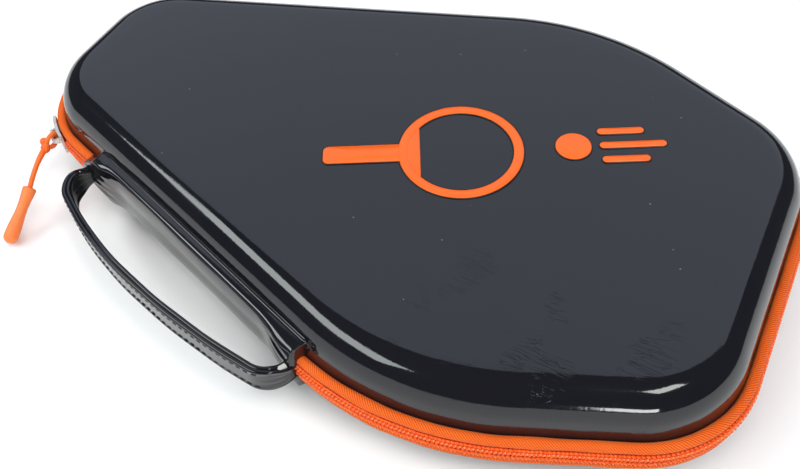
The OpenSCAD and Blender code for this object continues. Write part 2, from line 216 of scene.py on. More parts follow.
def add_object(name, data):
    """A new object in the scene."""
    made = bpy.data.objects.new(name, data)
    bpy.context.scene.collection.objects.link(made)
    return made


def new_piece(mesh, material, body, slot, *stands_for):
    """An object named after its mesh, on a body, with its finish and the CAD nodes it stands for."""
    piece = add_object(mesh.name, mesh)
    mesh.materials.append(material)
    if body:
        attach(piece, body)
    if stands_for:
        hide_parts(*stands_for)
    return piece


def grid_faces(rows, columns, wrap):
    """The row and column of each corner of a grid's faces, and the faces as point numbers."""
    r = np.arange(rows if wrap[0] else rows - 1)
    c = np.arange(columns if wrap[1] else columns - 1)
    r, c = (x.ravel() for x in np.meshgrid(r, c, indexing="ij"))
    ring = [(r, c), (r + 1, c), (r + 1, c + 1), (r, c + 1)]
    return ring, np.stack([(a % rows) * columns + b % columns for a, b in ring], 1)


def paint(name, material):
    """A new finish on a CAD node that stays in the model."""
    materials = nodes[name].data.materials
    materials.clear()
    materials.append(material)


def surface(name, points, u, v, wrap=(False, False), merge=False):
    """A mesh from rows and columns of points in millimetres; u and v are its texture distances."""
    ring, faces = grid_faces(*points.shape[:2], wrap)
    mesh = bpy.data.meshes.new(name)
    mesh.from_pydata((points.reshape(-1, 3) * MM).tolist(), [], faces.tolist())
    layer = mesh.uv_layers.new(name="distance")
    corners = np.stack([np.stack([u[a], v[b]], 1) for a, b in ring], 1)
    layer.data.foreach_set("uv", corners.astype(np.float32).ravel())
    finish_mesh(mesh, merge)
    return mesh


def stack_rings(name, rings, merge=False):
    """A surface through closed rings of points, for looks that don't use its texture distances."""
    grid = np.stack(rings)
    u, v = (np.arange(count, dtype=float) for count in (len(grid), grid.shape[1] + 1))
    return surface(name, grid, u, v, (False, True), merge)


def sweep(name, s, profile, side, swell=None, closed=False, closed_profile=False):
    """A section of (outward, height) points swept round the wall. Side is 1 for the lid and -1 for the base.
    swell(s, v) gives how far each point stands out from the plain section."""
    profile = np.asarray(profile, float)
    point, normal = wall.at(s)
    loop = profile if not closed_profile else np.vstack([profile, profile[:1]])
    v = lengths(loop)
    out = np.repeat(profile[None, :, 0], len(s), 0)
    height = np.repeat(profile[None, :, 1], len(s), 0)
    if swell is not None:
        along = np.gradient(profile, axis=0)
        along /= np.linalg.norm(along, axis=1)[:, None] + 1e-12
        grown = swell(s[:, None], v[None, : len(profile)])
        out = out + grown * along[None, :, 1]
        height = height - grown * along[None, :, 0]
    xyz = sheet(point[:, :1] + normal[:, :1] * out, point[:, 1:] + normal[:, 1:] * out, MID + side * height)
    u = np.append(s, s[0] + wall.length) if closed else s
    return surface(name, xyz, u, v, (closed, closed_profile))


def scatter(name, places, forward, outward, shape):
    """Copies of a small closed shape, one at each place, turned to its forward and outward directions."""
    count, size = len(places), shape.shape[0] * shape.shape[1]
    across = np.cross(outward, forward)
    local = shape.reshape(-1, 3)
    points = (
        places[:, None]
        + local[None, :, 0:1] * forward[:, None]
        + local[None, :, 1:2] * across[:, None]
        + local[None, :, 2:3] * outward[:, None]
    )
    one = grid_faces(*shape.shape[:2], (False, True))[1]
    faces = (one[None] + size * np.arange(count)[:, None, None]).reshape(-1, 4)
    mesh = bpy.data.meshes.new(name)
    mesh.from_pydata((points.reshape(-1, 3) * MM).tolist(), [], faces.tolist())
    mesh.uv_layers.new(name="distance")
    finish_mesh(mesh)
    return mesh


def bead(length, width, height, rows=7, columns=8, blunt=1.0):
    """A lens or capsule shape: half sizes along, across and out. Blunt below 1 fills its ends."""
    t = np.linspace(-1, 1, rows)[:, None]
    fat = np.maximum(1 - np.abs(t) ** (2 / blunt), 0) ** 0.5
    a = np.linspace(0, math.tau, columns, endpoint=False)[None]
    return np.stack(
        [np.repeat(t * length, columns, 1), fat * width * np.cos(a), fat * height * np.sin(a)], -1
    )


# ---- Materials ----


class Look:
    """A node material, built a node at a time. Distances in its textures are millimetres."""

    def __init__(self, name):
        self.material = bpy.data.materials.new(name)
        self.material.use_nodes = True
        self.tree = self.material.node_tree
        self.tree.nodes.clear()

    def node(self, kind, settings=None, **inputs):
        """A new node of this kind. An input is a value or another node's output."""
        made = self.tree.nodes.new("ShaderNode" + kind)
        for key, value in (settings or {}).items():
            setattr(made, key, value)
        for key, value in inputs.items():
            self.plug(made.inputs[key.replace("_", " ")], value)
        return made

    def plug(self, socket, value):
        if isinstance(value, bpy.types.NodeSocket):
            self.tree.links.new(value, socket)
        elif isinstance(value, tuple) and len(value) == 3 and socket.type == "RGBA":
            socket.default_value = (*value, 1)
        else:
            socket.default_value = value

    def math(self, operation, a, b=0.0, clamp=False):
        made = self.node("Math", {"operation": operation, "use_clamp": clamp})
        self.plug(made.inputs[0], a)
        self.plug(made.inputs[1], b)
        return made.outputs[0]

    def times(self, a, b):
        return self.math("MULTIPLY", a, b)

    def scaled(self, value, factor, offset):
        """The value times a factor, plus an offset."""
        made = self.math("MULTIPLY_ADD", value, factor)
        made.node.inputs[2].default_value = offset
        return made

    def step(self, value, low, high):
        """A smooth step from 0 at low to 1 at high."""
        settings = {"interpolation_type": "SMOOTHSTEP"}
        return self.node("MapRange", settings, Value=value, From_Min=low, From_Max=high).outputs[0]

    def mix(self, share, a, b):
        """Color a, turning to b as the share goes from 0 to 1."""
        made = self.node("Mix", {"data_type": "RGBA"})
        self.plug(made.inputs[0], share)
        self.plug(made.inputs[6], a)
        self.plug(made.inputs[7], b)
        return made.outputs[2]

    def place(self):
        """The point's place on its object, in millimetres."""
        at = self.node("TexCoord").outputs["Object"]
        return self.node("VectorMath", {"operation": "SCALE"}, Vector=at, Scale=1 / MM).outputs[0]

    def uv(self):
        """Distances along and across a strip, in millimetres."""
        both = self.node("SeparateXYZ", Vector=self.node("UVMap").outputs[0])
        return both.outputs[0], both.outputs[1]

    def noise(self, size, detail=2.0, at=None, stretch=None):
        """A soft irregular value from 0 to 1, with lumps of about this size in millimetres."""
        vector = at or self.place()
        if stretch:
            vector = self.node("Mapping", Vector=vector, Scale=stretch).outputs[0]
        return self.node("TexNoise", Vector=vector, Scale=1 / size, Detail=detail).outputs[0]

    def wave(self, value, period):
        """A sine of the given period, from -1 to 1."""
        return self.math("SINE", self.times(value, math.tau / period))

    def bump(self, height, distance, normal=None, strength=1.0):
        """A normal from a height of 0 to 1, where 1 stands for the distance in millimetres."""
        made = self.node("Bump", Strength=strength, Distance=distance * MM, Height=height)
        if normal is not None:
            self.plug(made.inputs["Normal"], normal)
        return made.outputs[0]

    def done(self, **inputs):
        """The finished material, from the principled shader's inputs."""
        shader = self.node("BsdfPrincipled", **inputs)
        output = self.node("OutputMaterial")
        self.tree.links.new(shader.outputs[0], output.inputs["Surface"])
        return self.material


def skin_look(name, creased):
    """Glossy black polyurethane film: fine grain, faint scuffs, dust, and creases near the head end."""
    look = Look(name)
    at = look.place()
    grain = look.noise(1.1, 3.0, at)
    normal = look.bump(grain, 0.012)
    normal = look.bump(look.noise(9, 1.0, at), 0.05, normal)
    if creased:
        xyz = look.node("SeparateXYZ", Vector=at)
        along, across = xyz.outputs[0], xyz.outputs[1]
        near_head = look.times(look.step(along, 30, 62), look.step(along, 135, 112))
        near_front = look.times(look.step(across, -92, -78), look.step(across, -22, -46))
        near = look.times(near_head, near_front)
        crease = 0.0
        for turn, length in ((25, 26), (62, 20), (-38, 24), (-75, 17)):
            stretch = (1 / length, 0.3, 0.3)
            spun = look.node("Mapping", Vector=at, Rotation=(0, 0, math.radians(turn)), Scale=stretch)
            field = look.node("TexNoise", Vector=spun.outputs[0], Scale=1.0, Detail=1.0).outputs[0]
            off = look.math("ABSOLUTE", look.math("SUBTRACT", field, 0.5))
            crease = look.math("MAXIMUM", crease, look.step(off, 0.012, 0.0))
        patchy = look.step(look.noise(16, 2.0, at), 0.53, 0.64)
        crease = look.times(look.times(crease, near), patchy)
        normal = look.bump(crease, 0.024, normal)
    scuff = look.step(look.noise(38, 4.0, at), 0.45, 0.75)
    rough = look.scaled(scuff, 0.05, 0.07)
    dust = look.node("TexVoronoi", Vector=at, Scale=0.085)
    speck = look.math("LESS_THAN", dust.outputs["Distance"], 0.022)
    color = look.mix(look.noise(60, 2.0, at), (0.0058, 0.0062, 0.0095), (0.0085, 0.0078, 0.0105))
    color = look.mix(look.times(speck, 0.5), color, (0.30, 0.30, 0.30))
    return look.done(Base_Color=color, Roughness=rough, Normal=normal, Specular_IOR_Level=0.58)


def soft_skin_look():
    """The same film over soft padding, in the spine, handle and patches: glossier, with fine puckers."""
    look = Look("soft_black_film")
    at = look.place()
    normal = look.bump(look.noise(9, 2.0, at), 0.06)
    normal = look.bump(look.noise(0.9, 2.0, at), 0.010, normal)
    rough = look.scaled(look.noise(12, 2.0, at), 0.08, 0.05)
    color = look.mix(look.noise(25, 2.0, at), (0.005, 0.0055, 0.008), (0.010, 0.010, 0.013))
    return look.done(Base_Color=color, Roughness=rough, Normal=normal, Specular_IOR_Level=0.6)


def herringbone(look, along, across, period, fold):
    """Ridges that slant one way up to the fold line and the other way past it."""
    bent = look.math("ABSOLUTE", look.math("SUBTRACT", across, fold))
    return look.wave(look.math("ADD", along, look.times(bent, 0.9)), period)


def twill_look():
    """Orange twill tape. Its ridges are in the mesh, and the threads on them are here, with painted shade in
    the troughs of the ridges, in the gaps between threads and on the side of the roll that turns in against
    the wall.
    """
    look = Look("orange_twill")
    along, across = look.uv()
    at = look.place()
    ridge = herringbone(look, along, across, TWILL_PITCH, TWILL_FOLD)
    thread = look.wave(look.math("SUBTRACT", along, look.times(across, 1.6)), 0.8)
    height = look.math("ADD", look.times(ridge, 0.3), look.times(thread, 0.2))
    # Painted shade: the troughs between the ridges are darkened.
    low = look.step(ridge, 0.5, -0.9)
    color = look.mix(look.noise(7, 2.0, at), (0.97, 0.150, 0.008), (1.0, 0.215, 0.018))
    color = look.mix(look.times(low, 0.85), color, (0.55, 0.035, 0.002))
    # Painted shade: the gaps between the threads are darkened.
    thread_gap_shade = look.times(look.step(thread, 0.2, -1.0), 0.35)
    color = look.mix(thread_gap_shade, color, (0.62, 0.050, 0.003))
    # Painted shade: the tape within about 3 mm of its start, where the roll turns in against the wall, is
    # darkened along a ragged line.
    ragged_across = look.math("ADD", across, look.times(look.noise(0.8, 2.0, at), 1.1))
    edge = look.step(ragged_across, 3.2, 2.0)
    color = look.mix(look.times(edge, 0.85), color, (0.20, 0.012, 0.002))
    return look.done(
        Base_Color=color,
        Roughness=0.72,
        Normal=look.bump(height, 0.10),
        Sheen_Weight=0.25,
        Sheen_Roughness=0.5,
        Sheen_Tint=(1.0, 0.55, 0.25),
        Specular_IOR_Level=0.3,
    )


def coil_look(name, dark, light, rough):
    """Nylon of the zip: a slightly mottled red-orange with a soft shine."""
    look = Look(name)
    at = look.place()
    color = look.mix(look.step(look.noise(1.3, 2.0, at), 0.35, 0.65), dark, light)
    normal = look.bump(look.noise(0.5, 2.0, at), 0.03)
    return look.done(Base_Color=color, Roughness=rough, Normal=normal, Subsurface_Weight=0.05)


def cloth_look(name, dark, light, pitch, depth, sheen=0.3):
    """A plain fabric with threads both ways along its strip."""
    look = Look(name)
    along, across = look.uv()
    at = look.place()
    weft = look.wave(along, pitch)
    warp = look.wave(across, pitch * 1.15)
    weave = look.scaled(look.times(weft, warp), 0.5, 0.5)
    shade = look.times(weave, look.noise(6, 3.0, at))
    color = look.mix(look.step(shade, 0.05, 0.6), dark, light)
    normal = look.bump(weave, depth, look.bump(look.noise(2.5, 3.0, at), depth))
    return look.done(Base_Color=color, Roughness=0.85, Normal=normal, Sheen_Weight=sheen, Sheen_Roughness=0.4)


def pile_look():
    """Short knitted pile of the linings."""
    look = Look("grey_pile_lining")
    at = look.place()
    loops = look.node("TexVoronoi", Vector=at, Scale=1.1).outputs["Distance"]
    brushed = look.noise(9, 3.0, at)
    color = look.mix(brushed, (0.028, 0.029, 0.034), (0.052, 0.053, 0.060))
    color = look.mix(look.step(loops, 0.5, 0.1), color, (0.070, 0.071, 0.078))
    normal = look.bump(loops, 0.18, look.bump(brushed, 0.3))
    return look.done(Base_Color=color, Roughness=0.92, Normal=normal, Sheen_Weight=0.6, Sheen_Roughness=0.45)


def metal_look():
    """Nickel plate with fine casting marks and a tone that changes in small patches."""
    look = Look("nickel_plate")
    at = look.place()
    scratch = look.noise(1.2, 4.0, at, (6.0, 0.7, 0.7))
    rough = look.scaled(scratch, 0.25, 0.16)
    color = look.mix(look.noise(3, 2.0, at), (0.50, 0.49, 0.46), (0.74, 0.73, 0.69))
    return look.done(Base_Color=color, Metallic=0.55, Roughness=rough, Normal=look.bump(scratch, 0.02))


def plastic_look(name, dark, light, rough, grain=0.6, depth=0.02, **more):
    """A moulded plastic, rubber or foam with a fine grain and slow changes of tone."""
    look = Look(name)
    at = look.place()
    color = look.mix(look.noise(8, 3.0, at), dark, light)
    spread = look.scaled(look.noise(4, 2.0, at), 0.12, rough)
    normal = look.bump(look.noise(grain, 2.0, at), depth)
    return look.done(Base_Color=color, Roughness=spread, Normal=normal, **more)


def net_look():
    """Nylon net: round holes in staggered rows, with knots between them."""
    look = Look("nylon_net")
    at = look.node("SeparateXYZ", Vector=look.place())
    a = look.wave(look.math("ADD", at.outputs[0], at.outputs[1]), 2.6)
    b = look.wave(look.math("SUBTRACT", at.outputs[0], at.outputs[1]), 2.6)
    hole = look.step(look.times(a, b), 0.10, 0.22)
    strand = look.math("SUBTRACT", 1.0, hole)
    color = look.mix(look.noise(1.5, 2.0), (0.035, 0.035, 0.040), (0.075, 0.075, 0.082))
    normal = look.bump(strand, 0.15)
    return look.done(Base_Color=color, Roughness=0.6, Normal=normal, Alpha=strand)


TWILL_PITCH = 0.95
TWILL_FOLD = 7.4
LID_SKIN = skin_look("glossy_black_lid", True)
BASE_SKIN = skin_look("glossy_black_base", False)
SOFT_SKIN = soft_skin_look()
TWILL = twill_look()
# Painted shade: the coil's cord is the teeth's nylon in a much darker red, for the shade between and under
# the teeth.
SHADED_COIL = coil_look("coil_cord_painted_shade", (0.42, 0.018, 0.002), (0.60, 0.035, 0.004), 0.5)
TEETH = coil_look("teeth_red_orange", (0.90, 0.095, 0.006), (0.96, 0.145, 0.012), 0.42)
ZIP_THREAD = coil_look("zip_sewing_thread", (0.95, 0.32, 0.10), (1.0, 0.48, 0.22), 0.6)
BINDING = cloth_look("woven_binding", (0.010, 0.010, 0.012), (0.040, 0.040, 0.044), 0.7, 0.10)
ELASTIC = cloth_look("ribbed_elastic", (0.012, 0.012, 0.014), (0.045, 0.045, 0.050), 0.9, 0.14)
LINING = pile_look()
NET = net_look()
METAL = metal_look()
FOAM = plastic_look("closed_cell_foam", (0.07, 0.07, 0.078), (0.11, 0.11, 0.12), 0.8, 0.5, 0.12)
CORE = plastic_look("pale_stiffener", (0.50, 0.50, 0.47), (0.60, 0.60, 0.57), 0.5)
BADGE = plastic_look("orange_print_film", (0.93, 0.125, 0.006), (0.96, 0.150, 0.010), 0.30, 0.9, 0.012)
# Painted shadow: a dull, deeper black for the ring round each badge part, where the part's edge casts shade.
BADGE_SHADOW = plastic_look("badge_painted_shadow", (0.004, 0.0035, 0.004), (0.007, 0.006, 0.007), 0.35)
CORD = plastic_look("orange_cord_rubber", (0.92, 0.13, 0.010), (1.0, 0.19, 0.025), 0.42, 0.7, 0.03)
GRIP = plastic_look(
    "pale_orange_rubber",
    (1.0, 0.19, 0.035),
    (1.0, 0.26, 0.07),
    0.40,
    0.8,
    0.03,
    Subsurface_Weight=0.15,
    Subsurface_Radius=(0.004, 0.002, 0.001),
    Subsurface_Scale=1.0,
)
THREAD = plastic_look("black_thread", (0.010, 0.010, 0.011), (0.05, 0.05, 0.055), 0.7, 0.3, 0.05)
PALE_THREAD = plastic_look("grey_thread", (0.09, 0.09, 0.10), (0.16, 0.16, 0.17), 0.75, 0.3, 0.05)


# ---- Halves ----

HALVES = (("lid", 1), ("base", -1))
RING = np.arange(0, wall.length, 2.0)


def tray_profile(inset, foot):
    """Section of a layer this far in: up the wall and over the rounding, to the edge of the flat face."""
    corner = HALF - EDGE
    profile = [(-inset - 0.5, foot), (-inset, foot + 0.5)]
    profile += [(-inset, h) for h in (2.5, 4, 5.5, 7, 8.5, 10, corner)]
    profile += list(arc((-EDGE, corner), EDGE - inset, 5, 90, 18))
    profile = np.array(profile)
    if inset == 0:
        spread = np.clip((FLARE_TOP - profile[:, 1]) / (FLARE_TOP - foot), 0, 1)
        profile[:, 0] += FLARE * spread**1.3
    return profile


def tray_surface(name, side, inset, foot, dip, wrinkle):
    """A whole half: the swept wall, then rings that shrink to the middle of the flat face."""
    profile = tray_profile(inset, foot)
    point, normal = wall.at(RING)
    centre = np.array((12.0, 0.0))
    rim = point - normal * EDGE
    shrink = 1 - np.linspace(0, 1, 26)[1:] ** 0.9
    columns = []
    for out, height in profile:
        place = point + normal * out
        columns.append((place, np.full(len(RING), height)))
    for share in shrink:
        place = centre + (rim - centre) * share
        fade = smooth(1 - share, 0.02, 0.5)
        x, y = place.T
        wave = np.sin(x / 21 + 1) * np.sin(y / 17 + 2) + np.sin(x / 9 + y / 13)
        columns.append((place, HALF - inset + fade * (wrinkle * wave - dip)))
    xyz = np.empty((len(RING), len(columns), 3))
    for k, (place, height) in enumerate(columns):
        xyz[:, k, :2] = place
        xyz[:, k, 2] = MID + side * height
    v = np.arange(len(columns)) * 2.0
    u = np.append(RING, wall.length)
    return surface(name, xyz, u, v, (True, False), merge=True)


def make_halves():
    """The outer film and the inner lining of each half, and a finish for the foam between them."""
    for half, side in HALVES:
        look = LID_SKIN if half == "lid" else BASE_SKIN
        skin = tray_surface(half + "_glossy_skin", side, 0, RIM, 0.12, 0.03)
        new_piece(skin, look, half, "glossy_skin", half + "_shell")
        lining = tray_surface(half + "_pile_lining", side, WALL, RIM, 0.2, 0.12)
        new_piece(lining, LINING, half, "lining", half + "_lining")
        paint(half + "_foam", FOAM)


# Section of the folded binding tape: across the rim, then down the inside of the wall.
BINDING_SECTION = [(-0.15, 1.1), (-0.1, 0.7), (-0.35, 0.36), (-1.6, 0.30), (-3.2, 0.33), (-5.4, 0.30)]
BINDING_SECTION += [(-6.3, 0.38), (-6.62, 0.75), (-6.68, 2.5), (-6.60, 5.0), (-6.66, 7.4), (-6.45, 8.25)]
BINDING_SECTION += [(-6.1, 8.3), (-6.0, 7.6), (-5.98, 1.1)]
BINDING_STITCH_PITCH = 3.2


def binding_swell(s, v):
    """Slight gathers in the part of the tape that turns down the wall."""
    return 0.06 * np.sin(s / 1.9) * smooth(v, 6, 9)


def make_bindings():
    """A tape folded over each half's rim, sewn down inside the wall."""
    marks = np.arange(0, wall.length, BINDING_STITCH_PITCH)
    for half, side in HALVES:
        mesh = sweep(half + "_rim_tape", RING, BINDING_SECTION, side, binding_swell, closed=True)
        new_piece(mesh, BINDING, half, "binding", half + "_rim_binding")
        point, normal = wall.at(marks)
        places = lift(point - normal * 6.72, MID + side * 6.6)
        stitch = bead(1.15, 0.28, 0.2, 5, 6, 0.5)
        mesh = scatter(half + "_rim_stitches", places, lift(quarter_turn(normal)), lift(-normal), stitch)
        new_piece(mesh, PALE_THREAD, half, "thread")


# ---- Zip ----


def tape_swell(s, v):
    """Twill ridges, and the slight lumps of a rolled tape."""
    ridge = np.sin(math.tau * (s + 0.9 * np.abs(v - TWILL_FOLD)) / TWILL_PITCH)
    lumps = 0.10 * np.sin(s / 5.3) * np.sin(s / 17.1 + 1) + 0.05 * np.sin(s / 2.9 + v)
    body = smooth(v, 0.0, 0.8) * smooth(-v, -9.4, -8.6)
    return body * (0.075 * ridge + lumps)


def cord_swell(s, v):
    """The coil's cord is a little thicker at each tooth."""
    return 0.05 * np.sin(math.tau * s / TOOTH_PITCH) + 0 * v


def tooth_row(name, distances, out, height, shape, side, slant):
    """One bead for each tooth, leaning along the zip by the slant."""
    point, normal = wall.at(distances)
    places = lift(point + normal * out, MID + side * height)
    up = np.array((0, 0, side))
    lean = math.radians(slant)
    forward = lift(quarter_turn(normal)) * math.cos(lean) + up * math.sin(lean)
    return scatter(name, places, forward, lift(normal), shape)


TOOTH_PITCH = 1.32
TAPE_STEP, CORD_STEP = 0.22, 0.8
# The slider hides this stretch of the lid's teeth, in degrees round the narrow end's corner.
SLIDER_FROM, SLIDER_TO = 33, 63
COIL_SECTION = [(3.2, 2.2), (4.6, 2.25), (5.5, 2.2), (5.95, 1.9), (6.1, 1.4), (6.0, 0.8), (5.5, 0.3)]
COIL_SECTION += [(4.6, 0.25), (3.2, 0.25)]
# Name, shift along the zip, place outward, height, slant, bead and look of each row on the coil.
TOOTH_ROWS = (
    ("_coil_teeth", 0, 6.3, 1.22, 34, bead(0.98, 0.54, 0.66), TEETH),
    ("_coil_upper_teeth", TOOTH_PITCH / 2, 5.75, 2.3, -20, bead(0.84, 0.37, 0.57), TEETH),
    ("_coil_stitches", 0.4, 6.6, 2.0, 60, bead(0.30, 0.16, 0.26, 5, 6), ZIP_THREAD),
)


def make_zip():
    """Each half's rolled tape, the cord of its coil with three rows of beads on it, and its stops."""
    s = np.arange(ZIP_START, ZIP_END, TAPE_STEP)
    marks = np.arange(ZIP_START + 1, ZIP_END - 1, TOOTH_PITCH)
    corner = wall.corner_start(0)
    break_from, break_to = (corner + RADII[0] * math.radians(a) for a in (SLIDER_FROM, SLIDER_TO))
    kept = marks[(marks < break_from) | (marks > break_to)]
    cord_s = np.arange(ZIP_START, ZIP_END, CORD_STEP)
    for half, side in HALVES:
        roll = list(arc(TAPE_CENTRES[half], TAPE_RADIUS, 215, -80, 30))
        tape = roll + [(3.8, 1.9), (3.4, 1.6), (3.2, 0.5)]
        mesh = sweep(half + "_twill_tape", s, tape, side, tape_swell)
        new_piece(mesh, TWILL, half, "zip_tape", half + "_zip_tape")
        teeth = kept if half == "lid" else marks
        spans = [cord_s[cord_s < break_from], cord_s[cord_s > break_to]] if half == "lid" else [cord_s]
        for k, span in enumerate(spans):
            name = f"{half}_coil_cord_{k}"
            mesh = sweep(name, span, COIL_SECTION, side, cord_swell)
            new_piece(mesh, SHADED_COIL, half, "zip_coil")
        for k, (kind, shift, out, height, slant, shape, look) in enumerate(TOOTH_ROWS):
            mesh = tooth_row(half + kind, teeth + shift, out, height, shape, side, slant)
            stands_for = (half + "_zip_coil",) if k == 0 else ()
            new_piece(mesh, look, half, "zip_coil", *stands_for)
        make_stops(half, side)


def make_stops(half, side):
    """A small metal clip squeezed round the coil at each end of the zip."""
    swell = np.sin(np.linspace(0, math.pi, 15)) ** 0.3 * 1.25 + 0.02
    for k, end in enumerate((ZIP_START + 2.5, ZIP_END - 2.5)):
        run = np.linspace(end - 1.6, end + 1.6, len(swell))
        point, normal = wall.at(run)
        path = lift(point + normal * 5.4, MID + side * 1.4)
        stands_for = (half + "_zip_stops",) if k == 0 else ()
        name = f"{half}_zip_stop_{k}"
        new_piece(tube(name, path, swell), METAL, half, "metal", *stands_for)


def bevel(piece, width):
    """Slightly rounded edges, this wide in millimetres."""
    made = piece.modifiers.new("bevel", "BEVEL")
    made.width = width * MM
    made.segments = 2
    made.limit_method = "ANGLE"
    made.harden_normals = False


# ---- Spine ----


# Half sections of the spine's film as (out, height), from the wall's seam to the mid plane.
SPINE_MIDDLE = [(0, 13.2), (0.5, 13.1), (0.8, 12.8), (0.7, 12.4), (1.4, 12.3), (2.6, 12.2), (3.8, 12.0)]
SPINE_MIDDLE += [(4.5, 11.6), (4.8, 10.9), (5.1, 9.0), (5.25, 7), (5.3, 5), (5.2, 2.4), (5.1, 0)]
SPINE_SLEEVE = [(0, 13.2), (0.6, 13.1), (0.8, 12.8), (0.9, 12.5), (2.8, 12.4), (5.0, 12.1), (6.3, 11.6)]
SPINE_SLEEVE += [(6.9, 10.8), (7.2, 9.4), (7.7, 7.0), (8.1, 4.2), (8.3, 2.0), (8.3, 0)]
SLEEVE_CUT = 10
SLEEVE_LENGTH = 22


def spine_half(section):
    """A half section as a smooth line with a fixed number of points."""
    line = resample(section, lengths(section)[-1] / 44)
    line[1:-1] = (line[:-2] + 2 * line[1:-1] + line[2:]) / 4
    return line


def make_spine():
    """The film over the fold, pleated in the sleeves at its ends, and the lining behind it, in two halves."""
    low, high = SPINE_FROM + 1.5, SPINE_TO
    low_sleeve = np.arange(low, low + SLEEVE_LENGTH, 0.5)
    between = np.arange(low + SLEEVE_LENGTH, high - SLEEVE_LENGTH, 1.2)
    high_sleeve = np.arange(high - SLEEVE_LENGTH, high, 0.5)
    along = np.concatenate([low_sleeve, between, high_sleeve, [high]])
    for half, side in HALVES:
        middle, sleeve = spine_half(SPINE_MIDDLE), spine_half(SPINE_SLEEVE)
        a, row = np.meshgrid(along, np.arange(len(middle)), indexing="ij")
        flare = 1 - smooth(a, low + 6, low + 27) * smooth(-a, -high + 5, -high + 24)
        out = middle[row, 0] * (1 - flare) + sleeve[row, 0] * flare
        h = side * (middle[row, 1] * (1 - flare) + sleeve[row, 1] * flare)
        seam = smooth(-np.abs(h), -12.2, -10.5)
        end = np.minimum(a - low, high - a)
        a = a + SLEEVE_CUT * smooth(np.abs(h), 4, 13) * (1 - smooth(a, low, low + 24))
        pleats = 0.24 * np.sin(h * 1.3 + a * 0.35) * np.exp(-((end - 9) ** 2) / 34) * seam
        tuck = -(out - 0.6) * smooth(-end, -1.6, 0)
        slow = 0.16 * np.sin(a / 12.7 + h / 6) * np.sin(a / 23 + 0.6) * seam
        points = on_spine(a, out + pleats + tuck + slow, h)
        name = half + "_spine_film"
        mesh = surface(name, points, along, lengths(middle))
        piece = new_piece(mesh, SOFT_SKIN, None, "glossy_skin", half + "_spine_piping", "spine_cover")
        bend_to(piece, side)

        lining_height = side * np.linspace(0, 9, 14)
        a, h = np.meshgrid(np.arange(SPINE_FROM + 1, SPINE_TO - 1, 1.5), lining_height, indexing="ij")
        out = 1.5 - 1.1 * smooth(np.abs(h), 5.5, 9) + 0.12 * np.sin(a / 3.1) * np.sin(h * 1.1)
        name = half + "_spine_cloth"
        mesh = surface(name, on_spine(a, out, h), a[:, 0], lining_height)
        piece = new_piece(mesh, LINING, None, "lining", "spine_lining")
        bend_to(piece, side)


def bend_to(piece, side):
    """Bakes the piece's place into its mesh. The two points worked out here are not used, and the piece
    follows no body.
    """
    middle = (SPINE_FROM + SPINE_TO) / 2
    start = on_spine(middle, FOLD_OUT, side * 3.0) * MM
    end = on_spine(middle, FOLD_OUT, side * 11.0) * MM
    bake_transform(piece)


# ---- Handle ----

HANDLE_LEFT, HANDLE_CREST, HANDLE_RIGHT = 40, 90, 168.2
HANDLE_REACH = 26.7
LEFT_BOW, LEFT_ANGLE = 185, 12.8
RIGHT_BOW, RIGHT_ANGLE = 300, 13.5
STRAP_WIDTH = 12.4
STRAP_LAYER = 1.55
STITCH_PITCH, STITCH_MARGIN, STITCH_LEVEL = 3.0, 15, 4.2


def bow_corner(run, bow, angle):
    """Radius of the handle's corner, and how far out its centre is."""
    turn = math.radians(angle)
    radius = (run - bow * math.sin(turn)) / (1 - math.sin(turn))
    return radius, HANDLE_REACH - bow * (1 - math.cos(turn)) - radius * math.cos(turn)


def handle_path():
    """The middle of the strap, from its right root to its left root, as (along, out)."""
    right, right_out = bow_corner(HANDLE_RIGHT - HANDLE_CREST, RIGHT_BOW, RIGHT_ANGLE)
    left, left_out = bow_corner(HANDLE_CREST - HANDLE_LEFT, LEFT_BOW, LEFT_ANGLE)
    path = np.vstack(
        [
            [(HANDLE_RIGHT - 0.6, 4.6)],
            arc((HANDLE_RIGHT - right, right_out), right, 0, 90 - RIGHT_ANGLE, 20),
            arc((HANDLE_CREST, HANDLE_REACH - RIGHT_BOW), RIGHT_BOW, 90 - RIGHT_ANGLE, 90, 30)[1:],
            arc((HANDLE_CREST, HANDLE_REACH - LEFT_BOW), LEFT_BOW, 90, 90 + LEFT_ANGLE, 30)[1:],
            arc((HANDLE_LEFT + left, left_out), left, 90 + LEFT_ANGLE, 180, 20)[1:],
            [(HANDLE_LEFT + 0.6, 4.6)],
        ]
    )
    return resample(path, 0.8)


def strap_loop():
    """Section of one layer of the strap as (thickness, width) shares: a thin pad with rolled edges."""
    half = STRAP_WIDTH / 2
    roll = 0.92
    top = arc((0, half - roll), roll, -25, 205, 12)
    bottom = arc((0, -half + roll), roll, 155, 385, 12)
    flat = STRAP_LAYER / 2 * 0.78
    right_face = [(flat, w) for w in np.linspace(-half + 2.4, half - 2.4, 7)]
    left_face = [(-flat, w) for w in np.linspace(half - 2.4, -half + 2.4, 7)]
    return np.array(list(top) + left_face + list(bottom) + right_face)


